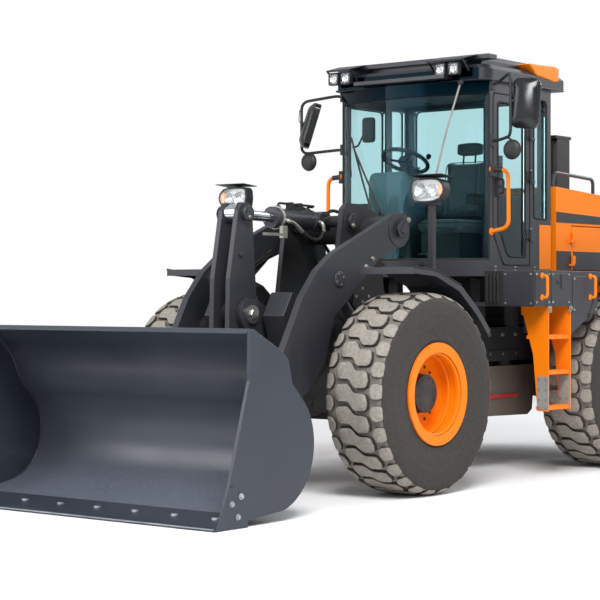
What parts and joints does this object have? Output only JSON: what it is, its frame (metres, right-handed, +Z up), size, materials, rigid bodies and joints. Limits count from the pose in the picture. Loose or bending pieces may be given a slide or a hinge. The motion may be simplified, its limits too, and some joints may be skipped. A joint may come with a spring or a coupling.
{
  "type": "articulated wheel loader",
  "caption": "Articulated wheel loader with a bucket on Z-bar lift arms, a glazed cab, ladders and a rear engine cover.",
  "frame": {"origin": "centre of the machine's outline on the ground, with the bucket lowered", "axes": "+X forward towards the bucket, +Y to the operator's left, +Z up"},
  "size_m": [7.15, 2.55, 3.3804],
  "materials": {
    "charcoal_paint": "satin",
    "bucket_paint": "satin",
    "worn_steel": "worn",
    "orange_paint": "gloss",
    "tyre_rubber": "dusty matte",
    "glass": "clear tinted",
    "chrome_rod": "polished",
    "black_plastic": "matte",
    "seat_fabric": "woven",
    "lamp_housing": "matte with clear lens"
  },
  "bodies": {
    "rear_frame": {"rear_frame": "charcoal_paint", "rear_axle": "charcoal_paint", "transmission": "charcoal_paint", "engine_block": "charcoal_paint", "counterweight": "charcoal_paint", "engine_hood": "orange_paint", "intake_duct": "black_plastic", "hood_rails": "orange_paint", "side_platforms": "charcoal_paint", "rear_fenders": "charcoal_paint", "access_ladders": "orange_paint", "cab_frame": "charcoal_paint", "cab_windows": "glass", "cab_roof": "black_plastic", "work_lights": "lamp_housing", "seat_pedestal": "black_plastic", "seat_cushions": "seat_fabric", "steering_column": "black_plastic", "cab_console": "black_plastic", "mirrors": "black_plastic", "grab_rails": "orange_paint", "tail_lights": "lamp_housing"},
    "front_frame": {"front_frame": "charcoal_paint", "front_axle": "charcoal_paint", "front_fenders": "charcoal_paint", "headlights": "lamp_housing"},
    "boom": {"boom_arms": "charcoal_paint", "boom_cross_tube": "charcoal_paint"},
    "bucket_pins": {"bucket_hinge_pins": "worn_steel"},
    "bucket": {"bucket_shell": "bucket_paint", "cutting_edge": "worn_steel"},
    "crank_pin": {"bell_crank_pin": "worn_steel"},
    "crank": {"bell_crank": "charcoal_paint"},
    "link_pin": {"bucket_link_pin": "worn_steel"},
    "link": {"bucket_link": "charcoal_paint"},
    "tilt_barrel": {"tilt_cylinder_barrel": "charcoal_paint"},
    "tilt_rod": {"tilt_cylinder_rod": "chrome_rod"},
    "cab_door": {"cab_door": "charcoal_paint", "cab_door_glass": "glass"},
    "hood_door_left": {"hood_door_left": "charcoal_paint"},
    "hood_door_right": {"hood_door_right": "charcoal_paint"},
    "rear_grille": {"rear_grille": "black_plastic"},
    "lift_barrel_left": {"lift_cylinder_barrel_left": "charcoal_paint"},
    "lift_rod_left": {"lift_cylinder_rod_left": "chrome_rod"},
    "steer_barrel_left": {"steering_cylinder_barrel_left": "charcoal_paint"},
    "steer_rod_left": {"steering_cylinder_rod_left": "chrome_rod"},
    "front_left_wheel": {"front_left_tyre": "tyre_rubber", "front_left_rim": "orange_paint"},
    "rear_left_wheel": {"rear_left_tyre": "tyre_rubber", "rear_left_rim": "orange_paint"},
    "lift_barrel_right": {"lift_cylinder_barrel_right": "charcoal_paint"},
    "lift_rod_right": {"lift_cylinder_rod_right": "chrome_rod"},
    "steer_barrel_right": {"steering_cylinder_barrel_right": "charcoal_paint"},
    "steer_rod_right": {"steering_cylinder_rod_right": "chrome_rod"},
    "front_right_wheel": {"front_right_tyre": "tyre_rubber", "front_right_rim": "orange_paint"},
    "rear_right_wheel": {"rear_right_tyre": "tyre_rubber", "rear_right_rim": "orange_paint"}
  },
  "joints": [
    {"name": "articulation", "type": "hinge", "parent": "rear_frame", "child": "front_frame", "pos_m": [-0.405, 0, 0.82], "axis": [0, 0, 1], "range_deg": [-40, 40]},
    {"name": "boom_lift", "type": "hinge", "parent": "front_frame", "child": "boom", "pos_m": [0.64, 0, 1.945], "axis": [0, -1, 0], "range_deg": [-2, 90]},
    {"name": "bucket_pin_turn", "type": "hinge", "parent": "boom", "child": "bucket_pins", "pos_m": [2.44, 0, 0.39], "axis": [0, -1, 0], "range_deg": [-91, 3]},
    {"name": "bucket_tilt", "type": "hinge", "parent": "bucket_pins", "child": "bucket", "pos_m": [2.44, 0, 0.39], "axis": [0, 1, 0], "range_deg": [-43, 45]},
    {"name": "crank_pin_turn", "type": "hinge", "parent": "boom", "child": "crank_pin", "pos_m": [1.88, 0, 1.31], "axis": [0, -1, 0], "range_deg": [-2, 19]},
    {"name": "crank_turn", "type": "hinge", "parent": "crank_pin", "child": "crank", "pos_m": [1.88, 0, 1.31], "axis": [0, -1, 0], "range_deg": [-10, 10]},
    {"name": "link_pin_turn", "type": "hinge", "parent": "bucket", "child": "link_pin", "pos_m": [2.52, 0, 0.615], "axis": [0, -1, 0], "range_deg": [-3, 43]},
    {"name": "link_turn", "type": "hinge", "parent": "link_pin", "child": "link", "pos_m": [2.52, 0, 0.615], "axis": [0, -1, 0], "range_deg": [-34, 36]},
    {"name": "tilt_barrel_turn", "type": "hinge", "parent": "front_frame", "child": "tilt_barrel", "pos_m": [0.88, 0, 2.01], "axis": [0, -1, 0], "range_deg": [-4, 108]},
    {"name": "tilt_rod_slide", "type": "slide", "parent": "tilt_barrel", "child": "tilt_rod", "axis": [0.9996, 0, 0.0298], "range_m": [-0.115, 0.11]},
    {"name": "lift_barrel_left_turn", "type": "hinge", "parent": "front_frame", "child": "lift_barrel_left", "pos_m": [0.56, 0.435, 0.76], "axis": [0, -1, 0], "range_deg": [-1, 33.5]},
    {"name": "lift_rod_left_slide", "type": "slide", "parent": "lift_barrel_left", "child": "lift_rod_left", "axis": [0.7178, 0, 0.6962], "range_m": [-0.02, 0.84]},
    {"name": "steer_barrel_left_turn", "type": "hinge", "parent": "rear_frame", "child": "steer_barrel_left", "pos_m": [-1.05, 0.3, 0.85], "axis": [0, 0, 1], "range_deg": [-9, 9]},
    {"name": "steer_rod_left_slide", "type": "slide", "parent": "steer_barrel_left", "child": "steer_rod_left", "axis": [1, 0, 0], "range_m": [-0.205, 0.205]},
    {"name": "front_left_wheel_spin", "type": "hinge", "parent": "front_frame", "child": "front_left_wheel", "pos_m": [1.045, 0.965, 0.735], "axis": [0, 1, 0], "continuous": true},
    {"name": "rear_left_wheel_spin", "type": "hinge", "parent": "rear_frame", "child": "rear_left_wheel", "pos_m": [-1.855, 0.965, 0.735], "axis": [0, 1, 0], "continuous": true},
    {"name": "lift_barrel_right_turn", "type": "hinge", "parent": "front_frame", "child": "lift_barrel_right", "pos_m": [0.56, -0.435, 0.76], "axis": [0, -1, 0], "range_deg": [-1, 33.5]},
    {"name": "lift_rod_right_slide", "type": "slide", "parent": "lift_barrel_right", "child": "lift_rod_right", "axis": [0.7178, 0, 0.6962], "range_m": [-0.02, 0.84]},
    {"name": "steer_barrel_right_turn", "type": "hinge", "parent": "rear_frame", "child": "steer_barrel_right", "pos_m": [-1.05, -0.3, 0.85], "axis": [0, 0, 1], "range_deg": [-9, 9]},
    {"name": "steer_rod_right_slide", "type": "slide", "parent": "steer_barrel_right", "child": "steer_rod_right", "axis": [1, 0, 0], "range_m": [-0.205, 0.205]},
    {"name": "front_right_wheel_spin", "type": "hinge", "parent": "front_frame", "child": "front_right_wheel", "pos_m": [1.045, -0.965, 0.735], "axis": [0, 1, 0], "continuous": true},
    {"name": "rear_right_wheel_spin", "type": "hinge", "parent": "rear_frame", "child": "rear_right_wheel", "pos_m": [-1.855, -0.965, 0.735], "axis": [0, 1, 0], "continuous": true},
    {"name": "cab_door_swing", "type": "hinge", "parent": "rear_frame", "child": "cab_door", "pos_m": [-0.969, 0.756, 2.4], "axis": [0, 0, 1], "range_deg": [0, 160]},
    {"name": "hood_door_left_swing", "type": "hinge", "parent": "rear_frame", "child": "hood_door_left", "pos_m": [-1.638, 0.768, 1.85], "axis": [0, 0, -1], "range_deg": [0, 80]},
    {"name": "hood_door_right_swing", "type": "hinge", "parent": "rear_frame", "child": "hood_door_right", "pos_m": [-1.638, -0.768, 1.85], "axis": [0, 0, 1], "range_deg": [0, 80]},
    {"name": "rear_grille_swing", "type": "hinge", "parent": "rear_frame", "child": "rear_grille", "pos_m": [-3.528, 0.552, 1.7], "axis": [0, 0, -1], "range_deg": [0, 100]}
  ],
  "couplings": [
    {"joint": "bucket_pin_turn", "follows": "boom_lift", "ratio": -1},
    {"joint": "crank_pin_turn", "follows": "boom_lift", "ratio": 0.195},
    {"joint": "crank_turn", "follows": "bucket_tilt", "ratio": 0.1936},
    {"joint": "link_pin_turn", "follows": "boom_lift", "ratio": 0.4582},
    {"joint": "link_turn", "follows": "bucket_tilt", "ratio": 0.7624},
    {"joint": "tilt_barrel_turn", "follows": "boom_lift", "ratio": 1.186},
    {"joint": "tilt_rod_slide", "follows": "bucket_tilt", "m_per_rad": -0.1424},
    {"joint": "lift_barrel_left_turn", "follows": "boom_lift", "ratio": 0.361},
    {"joint": "lift_rod_left_slide", "follows": "boom_lift", "m_per_rad": 0.5303},
    {"joint": "steer_barrel_left_turn", "follows": "articulation", "ratio": 0.195},
    {"joint": "steer_rod_left_slide", "follows": "articulation", "m_per_rad": -0.2876},
    {"joint": "lift_barrel_right_turn", "follows": "boom_lift", "ratio": 0.361},
    {"joint": "lift_rod_right_slide", "follows": "boom_lift", "m_per_rad": 0.5303},
    {"joint": "steer_barrel_right_turn", "follows": "articulation", "ratio": 0.195},
    {"joint": "steer_rod_right_slide", "follows": "articulation", "m_per_rad": 0.2876}
  ]
}
